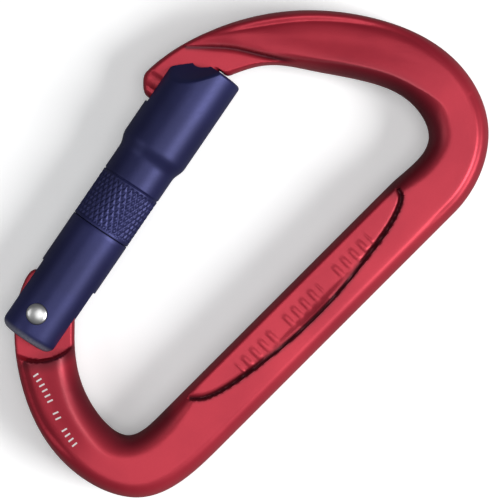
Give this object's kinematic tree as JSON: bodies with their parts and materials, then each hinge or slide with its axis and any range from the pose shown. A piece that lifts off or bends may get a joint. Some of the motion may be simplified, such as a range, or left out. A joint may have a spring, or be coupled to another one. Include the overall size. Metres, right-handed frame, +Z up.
{
  "type": "locking carabiner",
  "caption": "Twist-lock offset-D carabiner for rope work: forged red bar, sprung swinging gate and a knurled blue locking sleeve that turns on the gate.",
  "frame": {"origin": "centre of the whole object's box", "axes": "+X along the spine towards the nose end, +Y towards the gate, +Z up out of the flat side that faces the viewer when it lies down"},
  "size_m": [0.1174, 0.0662, 0.0148],
  "materials": {
    "red_anodised": "satin red anodised, forged",
    "blue_anodised": "satin dark blue anodised, turned",
    "blue_anodised_sleeve": "satin dark blue anodised, turned and knurled",
    "polished_steel": "polished",
    "spring_steel": "drawn wire",
    "brass": "turned",
    "polymer": "matte"
  },
  "bodies": {
    "frame": {"body": "red_anodised"},
    "gate": {"gate": "blue_anodised", "hinge_rivet": "polished_steel", "closing_spring": "spring_steel", "sleeve_spring": "spring_steel", "thrust_washer": "polymer", "snap_ring": "spring_steel", "guide_pin": "polished_steel"},
    "plunger": {"plunger": "brass"},
    "sleeve": {"lock_sleeve": "blue_anodised_sleeve"}
  },
  "joints": [
    {"name": "gate_swing", "type": "hinge", "parent": "frame", "child": "gate", "pos_m": [-0.03991, 0.01321, 0], "axis": [0, 0, -1], "range_deg": [0, 27], "stiffness_Nm_per_rad": 0.05, "springref_deg": -22.92},
    {"name": "plunger_slide", "type": "slide", "parent": "gate", "child": "plunger", "axis": [0.9826, 0.1858, 0], "range_m": [0, 0.0016], "deforming": ["closing_spring"]},
    {"name": "sleeve_twist", "type": "hinge", "parent": "gate", "child": "sleeve", "pos_m": [-0.00049, 0.02005, 0], "axis": [0.9826, 0.1858, 0], "range_deg": [0, 70], "stiffness_Nm_per_rad": 0.02, "springref_deg": -17.19, "deforming": ["sleeve_spring"]}
  ],
  "couplings": [
    {"joint": "plunger_slide", "follows": "gate_swing", "m_per_rad": 0.003183}
  ]
}
